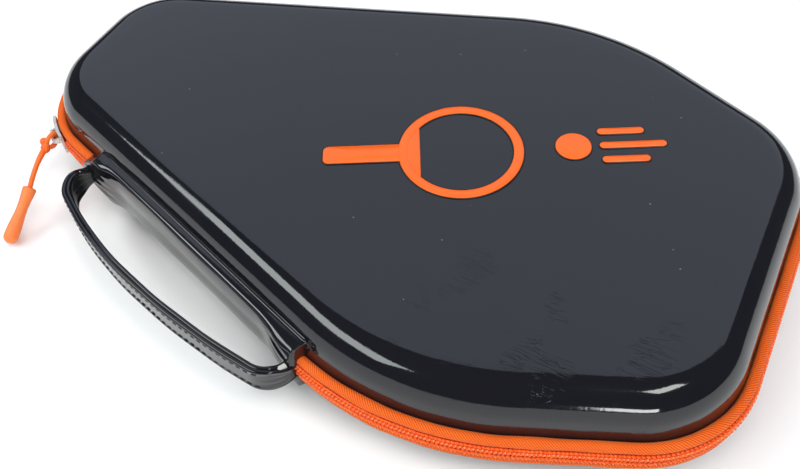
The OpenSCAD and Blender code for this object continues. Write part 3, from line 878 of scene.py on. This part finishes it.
def make_handle():
    """Two layers of padded film along the handle's line, thicker and narrower where they meet the spine."""
    path = handle_path()
    run = lengths(path)
    tangent = unit(np.gradient(path, axis=0))
    outward = np.column_stack([tangent[:, 1], -tangent[:, 0]])
    end = np.minimum(run, run[-1] - run)
    width = 0.50 + 0.50 * smooth(end, 2.0, 11.0)
    thick = 1.35 - 0.35 * smooth(end, 2.0, 10.0)
    section = strap_loop()
    v = loop_lengths(section)
    thin, wide = section[None, :, 0], section[None, :, 1]
    near_root = (1 - smooth(end, 6, 17))[:, None]
    layers = (("handle_outer_layer", STRAP_LAYER / 2, 0.0), ("handle_inner_layer", -STRAP_LAYER / 2, 0.1))
    for name, shift, shrink in layers:
        pleat = 0.30 * np.sin(wide * 1.9 + run[:, None] * 0.25) * near_root
        pinch = 0.07 * np.sin(run / 4.3 + shift) + 0.05 * np.sin(run / 11.9)
        t = (thin + shift) * thick[:, None] + pleat + pinch[:, None]
        w = wide * width[:, None] - shrink * np.sign(wide)
        w = w + 0.25 * np.sin(run / 19)[:, None]
        along = path[:, :1] + outward[:, :1] * t
        out = path[:, 1:] + outward[:, 1:] * t
        mesh = surface(name, on_spine(along, out, w), run, v, (False, True))
        stands_for = ("handle_strap",) if shift > 0 else ()
        new_piece(mesh, SOFT_SKIN, "handle", "glossy_skin", *stands_for)
    make_handle_stitches(path, outward, run)
    paint("handle_core", CORE)


def make_handle_stitches(path, outward, run):
    """Two rows of stitches along the outside of the strap."""
    origin = on_spine(0.0, 0.0, 0.0)

    def turn(flat):
        """Directions along and out from the spine, in the frame of the part."""
        return on_spine(flat[:, 0], flat[:, 1], 0.0) - origin

    marks = np.arange(STITCH_MARGIN, run[-1] - STITCH_MARGIN, STITCH_PITCH)
    for name, level in (("handle_lower_stitches", -STITCH_LEVEL), ("handle_upper_stitches", STITCH_LEVEL)):
        place = np.stack([np.interp(marks, run, path[:, k]) for k in range(2)], 1)
        normal = np.stack([np.interp(marks, run, outward[:, k]) for k in range(2)], 1)
        along = quarter_turn(normal)
        out = STRAP_LAYER + 0.02
        places = on_spine(place[:, 0] + normal[:, 0] * out, place[:, 1] + normal[:, 1] * out, level)
        mesh = scatter(name, places, turn(along), turn(normal), bead(1.15, 0.33, 0.22, 6, 6, 0.5))
        stands_for = ("handle_stitching",) if level < 0 else ()
        new_piece(mesh, THREAD, "handle", "thread", *stands_for)


# ---- Slider and puller ----

SLIDER_ANGLE = 232
PIVOT_OUT = 8.55
PULL_SWING = 44
PULL_DROOP = 27
LOOP_RADIUS = 3.2
KNOB_FORWARD, KNOB_ASIDE, KNOB_RISE, KNOB_RADIUS = 5.3, -2.3, 0.9, 1.6
KNOT_AT = 7.8
CORD_LENGTH = 17.6
GRIP_LENGTH, GRIP_END_RADIUS = 22.4, 3.1


def pull_frame():
    """Where the puller pivots, and its forward, sideways and up directions."""
    point, normal = wall.at([wall.corner_start(0)])
    centre = point[0] - normal[0] * RADII[0]
    a = math.radians(SLIDER_ANGLE)
    pivot = centre + (RADII[0] + PIVOT_OUT) * np.array((math.cos(a), math.sin(a)))
    b = math.radians(SLIDER_ANGLE + PULL_SWING)
    forward = np.array((math.cos(b), math.sin(b), 0))
    return np.array((*pivot, MID)), forward, np.array((-forward[1], forward[0], 0)), np.array((0, 0, 1.0))


def tube(name, path, radii, squash=1.0, closed=False, columns=20):
    """A round section of changing radius along a line of points."""
    path = np.asarray(path, float)
    tangent = np.gradient(path, axis=0)
    if closed:
        tangent = np.roll(path, -1, 0) - np.roll(path, 1, 0)
    tangent = unit(tangent)
    side = np.cross(tangent, (0, 0, 1.0))
    flat = np.linalg.norm(side, axis=1) < 1e-3
    side[flat] = (1, 0, 0)
    side = unit(side)
    up = np.cross(side, tangent)
    a = np.linspace(0, math.tau, columns, endpoint=False)
    radii = np.broadcast_to(radii, len(path))
    ring = (
        path[:, None]
        + radii[:, None, None] * np.cos(a)[None, :, None] * side[:, None]
        + radii[:, None, None] * squash * np.sin(a)[None, :, None] * up[:, None]
    )
    u = lengths(np.vstack([path, path[:1]])) if closed else lengths(path)
    v = np.linspace(0, math.tau * float(np.mean(radii)), columns + 1)
    return surface(name, ring, u, v, (closed, True))


def make_slider():
    """A nickel finish and rounded edges for the slider's CAD pieces."""
    for name in ("slider_body", "slider_crown"):
        paint(name, METAL)
        bevel(nodes[name], 0.28)


def make_pull():
    """The cord's loop, knob, knot and stem, and the rubber grip moulded on its end."""
    pivot, forward, sideways, up = pull_frame()

    def at(x, y, z):
        """Points from distances forward, sideways and up from the pivot."""
        flat = np.multiply.outer(x, forward) + np.multiply.outer(y, sideways)
        return pivot + flat + np.multiply.outer(z, up)

    t = np.linspace(0, math.tau, 48, endpoint=False)
    squeeze = 0.80 + 0.20 * np.cos(t)
    loop = at(LOOP_RADIUS - LOOP_RADIUS * np.cos(t), 0.25 * np.sin(2 * t), LOOP_RADIUS * squeeze * np.sin(t))
    mesh = tube("pull_loop", loop, 1.0 + 0.05 * np.sin(3 * t), closed=True, columns=14)
    new_piece(mesh, CORD, "pull", "pull", "pull_cord")

    t = np.linspace(0, math.pi, 21)
    knob = at(KNOB_FORWARD - 1.7 * np.cos(t), KNOB_ASIDE + 0 * t, KNOB_RISE + 0 * t)
    new_piece(tube("pull_knob", knob, KNOB_RADIUS * np.sin(t) + 0.02, columns=18), CORD, "pull", "pull")

    turns = np.linspace(0, 2.15 * math.tau, 80)
    swirl = 1.05 + 0.12 * np.sin(turns * 0.5)
    knot = at(KNOT_AT - 0.9 + 0.42 * turns / math.tau * 2, swirl * np.cos(turns), swirl * np.sin(turns))
    count = np.arange(len(turns))
    ends = smooth(count, -4, 6) * smooth(-count, -84, -74)
    mesh = tube("pull_knot", knot, 0.95 * ends + 0.05, columns=12)
    new_piece(mesh, CORD, "pull", "pull")

    droop = math.radians(PULL_DROOP)
    tip = np.array((math.cos(droop), 0, -math.sin(droop)))
    start = np.array((KNOT_AT, 0, 0.0))
    finish = start + tip * CORD_LENGTH
    bend = start + np.array((8.5, 1.2, 0.3))
    share = np.linspace(0, 1, 40)[:, None]
    curve = (1 - share) ** 2 * start + 2 * share * (1 - share) * bend + share**2 * (finish + tip * 0.8)
    radii = 1.3 - 0.25 * smooth(share[:, 0], 0, 0.6)
    mesh = tube("pull_stem", at(*curve.T), radii)
    new_piece(mesh, CORD, "pull", "pull")

    shape = [(-0.1, 0.1), (0, 0.9), (0.2, 2.2), (0.6, 2.85), (1.4, 2.95), (3.0, 2.75), (6.0, 2.45)]
    shape += [(9.0, 2.3), (12.0, 2.4), (15.0, 2.7), (18.0, 3.0), (20.0, GRIP_END_RADIUS)]
    shape += [tuple(p) for p in arc((GRIP_LENGTH - 0.5, 0), GRIP_END_RADIUS, 84, 0, 12)]
    shape = resample(shape, 0.35)
    shape[-1, 1] = 0.02
    spots = finish + np.multiply.outer(shape[:, 0], tip)
    mesh = tube("pull_rubber_grip", at(*spots.T), shape[:, 1], squash=0.92, columns=28)
    new_piece(mesh, GRIP, "pull", "pull", "pull_grip")


# ---- Badge ----

BADGE_CENTRE, BADGE_TURN = (30, 2), 28
BADGE_BLADE, BADGE_RIM, BADGE_SHOULDER = 23, 3.6, 8
BADGE_GRIP, BADGE_GRIP_WIDTH = 28, 8.5
BALL_AT, BALL_RADIUS = BADGE_BLADE + 18, 6.5
# Width of the dark painted-shadow ring round each badge part.
SHADOW_RING_WIDTH = 0.5
STREAK_PITCH, STREAK_WIDTH, STREAK_LENGTH, STREAK_STEP = 7, 3, 24, 7


def rounded_box(x0, x1, half, radius):
    """Outline of a long box with rounded corners, lying along x."""
    radius = min(radius, half)
    spots = ((x1 - radius, half - radius, 0), (x0 + radius, half - radius, 90))
    spots += ((x0 + radius, -half + radius, 180), (x1 - radius, -half + radius, 270))
    return np.vstack([arc((x, y), radius, a, a + 90, 8) for x, y, a in spots])


def badge_shapes(grow):
    """Outlines of the badge's parts, each larger all round by the growth."""
    shoulder_angle = math.degrees(math.acos((BADGE_BLADE - BADGE_SHOULDER) / BADGE_BLADE))
    throat = arc((0, 0), BADGE_BLADE + grow, 180 - shoulder_angle, 180 + shoulder_angle, 25)
    neck = BADGE_SHOULDER - BADGE_BLADE
    grip = rounded_box(-BADGE_BLADE - BADGE_GRIP - grow, neck, BADGE_GRIP_WIDTH / 2 + grow, 2.2 + grow)
    ball = arc((BALL_AT, 0), BALL_RADIUS + grow, 0, 360, 49)[:-1]
    shapes = {"throat": throat, "grip": grip, "ball": ball}
    for k in (-1, 0, 1):
        start = BALL_AT + BALL_RADIUS + 3
        end = start + STREAK_LENGTH - STREAK_STEP * abs(k)
        streak = rounded_box(start - grow, end + grow, STREAK_WIDTH / 2 + grow, 9)
        shapes[f"streak_{k + 1}"] = streak + (0, k * STREAK_PITCH)
    return shapes


def on_badge(flat, height):
    """Points of the badge turned into place on the lid's face, at a height above it."""
    turn = math.radians(BADGE_TURN)
    spin = np.array(((math.cos(turn), math.sin(turn)), (-math.sin(turn), math.cos(turn))))
    return lift(flat @ spin + BADGE_CENTRE, MID * 2 + height)


def plate(name, outline, low, high, round_off):
    """A flat plate with a rounded upper edge, at heights above the lid's face."""
    centre = outline.mean(0)
    rings = [(0, low), (0, high - round_off), (round_off * 0.3, high - round_off * 0.3), (round_off, high)]
    size = np.abs(outline - centre).max()
    points = [on_badge(centre + (outline - centre) * (1 - inset / size), height) for inset, height in rings]
    points.append(on_badge(np.repeat(centre[None], len(outline), 0), high))
    return stack_rings(name, points, merge=True)


def hoop(name, inner, outer, low, high, round_off):
    """A flat ring with rounded upper edges, at heights above the lid's face."""
    section = [(outer, low), (outer, high - round_off), (outer - round_off, high)]
    section += [(inner + round_off, high), (inner, high - round_off), (inner, low)]
    points = [on_badge(arc((0, 0), radius, 0, 360, 145)[:-1], height) for radius, height in section]
    return stack_rings(name, points)


def make_badge():
    """Printed film parts, each with a narrow dark ring round it that stands for the shadow at its edge:
    painted shadow.
    """
    inner = BADGE_BLADE - BADGE_RIM
    # The second pass draws each part again, a little larger and lower, as the painted-shadow ring.
    for kind, grow, top, look in (("", 0, 0.38, BADGE), ("shadow_ring_", SHADOW_RING_WIDTH, 0.10, BADGE_SHADOW)):
        soft = 0.12 if kind == "" else 0.05
        mesh = hoop(f"badge_{kind}blade", inner - grow, BADGE_BLADE + grow, -0.3, top, soft)
        stands_for = ("lid_badge",) if kind == "" else ()
        new_piece(mesh, look, "lid", "badge", *stands_for)
        for k, (part, outline) in enumerate(badge_shapes(grow).items()):
            mesh = plate(f"badge_{kind}{part}", outline, -0.3, top - 0.012 * (k + 1), soft)
            new_piece(mesh, look, "lid", "badge")


# ---- Inside ----

BAND_HALF, BAND_TOP, BAND_FOOT = 24, 17, 8
BAND_WIDTH = 25
BANDS = (("grip_band_near_blade", -50), ("grip_band_at_end", -95))
# Size and height of each ring of a sewn patch.
PATCH_RINGS = ((1.0, -0.2), (1.0, 0.45), (0.98, 0.7), (0.92, 0.8), (0.55, 0.92), (0.0, 0.95))
GRIP_CLEARANCE = 25
FLOOR = WALL


def band_line():
    """The arch of an elastic band across the case, as (across, height) with softened corners."""
    foot = BAND_HALF + BAND_FOOT
    rise = GRIP_CLEARANCE + 0.6
    left = [(-foot, 0.6), (-BAND_HALF, 0.6), (-BAND_TOP, rise)]
    line = resample(left + [(-x, height) for x, height in reversed(left)], 0.8)
    for _ in range(14):
        line[1:-1] = (line[:-2] + 2 * line[1:-1] + line[2:]) / 4
    return line


def make_bands():
    """Two ribbed elastic bands that hold a paddle's grip."""
    line = band_line()
    run = lengths(line)
    tangent = unit(np.gradient(line, axis=0))
    up = quarter_turn(tangent)
    half = BAND_WIDTH / 2
    across = np.linspace(-half, half, 91)
    rib = 0.13 * np.cos(math.tau * across / 2.5)
    edge = 0.25 * smooth(np.abs(across), half - 0.8, half)
    top = np.column_stack([across, 0.55 + rib - edge])
    bottom = np.column_stack([across[::-1], -0.5 - 0.5 * rib])
    section = np.vstack([top, bottom])
    v = loop_lengths(section)
    for name, x in BANDS:
        narrow = 1 - 0.03 * smooth(run, 6, 30) * smooth(-run, -run[-1] + 6, -run[-1] + 30)
        thick = section[None, :, 1]
        y, z = line[:, :1] + up[:, :1] * thick, FLOOR + line[:, 1:] + up[:, 1:] * thick
        points = sheet(x + section[None, :, 0] * narrow[:, None], y, z)
        mesh = surface(name + "_elastic", points, run, v, (False, True))
        new_piece(mesh, ELASTIC, "base", "elastic", name)


def make_patches():
    """A sewn patch over each end of each band."""
    length, width, high = BAND_WIDTH / 2 + 1, 3.25, 0.8
    outline = rounded_box(-length, length, width, 1.4)
    for k, (x, side) in enumerate((x, side) for _, x in BANDS for side in (-1, 1)):
        y = side * (BAND_HALF + BAND_FOOT / 2)
        z = FLOOR + 1.2
        rings = []
        for grow, height in PATCH_RINGS:
            flat = outline * grow
            rings.append(lift(flat + (x, y), z + height))
        name = f"band_patch_{k}"
        mesh = stack_rings(name, rings, merge=True)
        stands_for = ("band_patches",) if k == 0 else ()
        new_piece(mesh, SOFT_SKIN, "base", "glossy_skin", *stands_for)
        marks = resample(np.vstack([outline, outline[:1]]) * 0.84, 2.2)[:-1]
        ahead = unit(np.roll(marks, -1, 0) - np.roll(marks, 1, 0))
        places = lift(marks + (x, y), z + high + 0.06)
        outward = np.tile((0.0, 0.0, 1.0), (len(marks), 1))
        mesh = scatter(name + "_stitches", places, lift(ahead), outward, bead(0.8, 0.2, 0.16, 5, 6, 0.5))
        new_piece(mesh, PALE_THREAD, "base", "thread")


POCKET_OPEN = -10
POCKET_MARGIN = 26
POCKET_LEVEL = 2 * HALF - WALL


def pocket_rim():
    """The pocket's outline, from one end of its open edge round the head end to the other."""
    ring = np.arange(wall.corner_start(1) - 90, wall.corner_start(4) + RADII[4] + 120, 2.0)
    point, normal = wall.at(ring)
    line = point - normal * POCKET_MARGIN
    return line[line[:, 0] >= POCKET_OPEN]


def make_pocket():
    """A net pocket for balls in the lid: the net, the tape round it and the gathered hem of its mouth."""
    rim = resample(pocket_rim(), 1.6)
    ahead = unit(np.gradient(rim, axis=0))
    inward = quarter_turn(ahead)
    run = lengths(rim)

    level = POCKET_LEVEL - 2.6
    shares = np.linspace(0, 1, 22)
    columns = []
    for share in shares:
        flat = rim.copy()
        flat[:, 1] = rim[:, 1] * (1 - share)
        flat[:, 0] = rim[:, 0] * (1 - share) + np.clip(rim[:, 0], POCKET_OPEN, 60) * share
        sag = 0.5 * np.sin(math.pi * share / 2) * smooth(flat[:, 0], POCKET_OPEN, 8)
        sag = sag + 0.12 * np.sin(flat[:, 0] / 7) * share
        columns.append(np.column_stack([flat, level - sag]))
    net = np.stack(columns, 1)
    mesh = surface("pocket_net", net, run, shares * 50, merge=True)
    new_piece(mesh, NET, "lid", "mesh", "pocket_mesh")

    section = rounded_box(-1.5, 1.5, 1.2, 0.9)
    v = loop_lengths(section)
    reach = section[None, :, 0] + 1.5
    height = POCKET_LEVEL - 1.4 + section[None, :, 1] * 1.15 + 0.08 * np.sin(run / 1.7)[:, None]
    tape = sheet(rim[:, :1] + inward[:, :1] * reach, rim[:, 1:] + inward[:, 1:] * reach, height)
    mesh = surface("pocket_edge_tape", tape, run, v, (False, True))
    new_piece(mesh, BINDING, "lid", "binding", "pocket_binding")

    half = float(np.abs(rim[[0, -1], 1]).mean())
    across = np.linspace(-half, half, 260)
    loop = rounded_box(-3.6, 3.6, 0.62, 0.6)
    gather = 0.32 * np.sin(across * 1.45) + 0.14 * np.sin(across * 2.9 + 1)
    x = POCKET_OPEN + 4 + loop[None, :, 0] + 0.15 * np.sin(across / 3)[:, None]
    z = POCKET_LEVEL - 3.7 + loop[None, :, 1] + gather[:, None] * np.abs(loop[None, :, 0] / 3.6)
    hem = sheet(x, across[:, None], z)
    v = loop_lengths(loop)
    mesh = surface("pocket_gathered_hem", hem, across, v, (False, True))
    new_piece(mesh, ELASTIC, "lid", "elastic", "pocket_elastic")


# ---- Studio ----

CAMERA_AZIMUTH, CAMERA_ELEVATION, CAMERA_ROLL = 33.3, 52.0, -6.0
CAMERA_DISTANCE, CAMERA_LENS = 0.3265, 39.2

AMBIENT = 0.10
FLOOR_SIZE, FLOOR_DROP = 12.0, -0.0004
# Name, azimuth, elevation, distance, width, height, brightness and colour of each soft light.
SOFTBOXES = [
    ("back_panel", 110, 42, 9.0, 13.2, 7.5, 0.95, (0.77, 0.85, 1.0)),
    ("left_panel", 220, 47, 9.0, 7.8, 2.7, 6.5, (0.94, 1.0, 1.0)),
    ("top_box", 348, 62, 4.8, 1.65, 0.84, 10.0, (1.0, 1.0, 0.97)),
    ("front_box", 310, 7, 4.8, 1.20, 0.66, 14.0, (1.0, 1.0, 1.0)),
    ("fill", 305, 72, 4.5, 3.6, 3.6, 3.1, (1.0, 0.985, 0.97)),
]

def surroundings():
    """Dim, even light from all round, the same for every kind of ray."""
    world = bpy.data.worlds.new("studio")
    bpy.context.scene.world = world
    world.use_nodes = True
    background = world.node_tree.nodes["Background"]
    background.inputs["Color"].default_value = (0.75, 0.85, 1.0, 1)
    background.inputs["Strength"].default_value = AMBIENT


def floor():
    """A plain pale floor."""
    look = Look("pale_floor")
    at = look.place()
    color = look.mix(look.noise(40, 3.0, at), (0.93, 0.93, 0.93), (0.95, 0.95, 0.95))
    material = look.done(Base_Color=color, Roughness=0.9, Specular_IOR_Level=0.1)
    corners = [(FLOOR_SIZE * x, FLOOR_SIZE * y, 0) for x, y in ((-1, -1), (1, -1), (1, 1), (-1, 1))]
    mesh = bpy.data.meshes.new("floor")
    mesh.from_pydata(corners, [], [(0, 1, 2, 3)])
    mesh.materials.append(material)
    piece = add_object("floor", mesh)
    piece.location.z = FLOOR_DROP


def softbox(name, azimuth, elevation, distance, width, height, brightness, color):
    """A rectangular soft light facing the case from this direction. The fill isn't seen in reflections."""
    light = bpy.data.lights.new(name, "AREA")
    light.shape = "RECTANGLE"
    light.size = width
    light.size_y = height
    light.energy = brightness * math.pi * width * height
    light.color = color
    piece = add_object(name, light)
    a, e = math.radians(azimuth), math.radians(elevation)
    place = Vector((math.cos(a) * math.cos(e), math.sin(a) * math.cos(e), math.sin(e))) * distance
    piece.location = place
    piece.rotation_euler = (-place).to_track_quat("-Z", "Y").to_euler()
    piece.visible_camera = False
    piece.visible_glossy = name != "fill"


def camera():
    """Looks down at the case from its front right, rolled a little, as a hand-held camera would be."""
    azimuth, elevation, roll = map(math.radians, (CAMERA_AZIMUTH, CAMERA_ELEVATION, CAMERA_ROLL))
    flat = math.cos(elevation)
    back = Vector((math.sin(azimuth) * flat, -math.cos(azimuth) * flat, math.sin(elevation)))
    level = Vector((math.cos(azimuth), math.sin(azimuth), 0))
    above = back.cross(level)
    right = level * math.cos(roll) + above * math.sin(roll)
    up = above * math.cos(roll) - level * math.sin(roll)
    data = bpy.data.cameras.new("camera")
    data.lens = CAMERA_LENS
    data.shift_x = 0.0335
    data.shift_y = 0.005
    data.clip_start = 0.01
    piece = add_object("camera", data)
    basis = np.column_stack([right, up, back])
    piece.rotation_mode = "QUATERNION"
    piece.rotation_quaternion = Matrix(basis.tolist()).to_quaternion()
    piece.location = Vector((0.0108, -0.0333, MID * MM)) + back * CAMERA_DISTANCE
    bpy.context.scene.camera = piece


make_halves()
make_bindings()
make_zip()
make_spine()
make_handle()
make_slider()
make_pull()
make_badge()
make_bands()
make_patches()
make_pocket()
surroundings()
floor()
for box in SOFTBOXES:
    softbox(*box)
camera()
bpy.context.scene.view_settings.view_transform = "Standard"
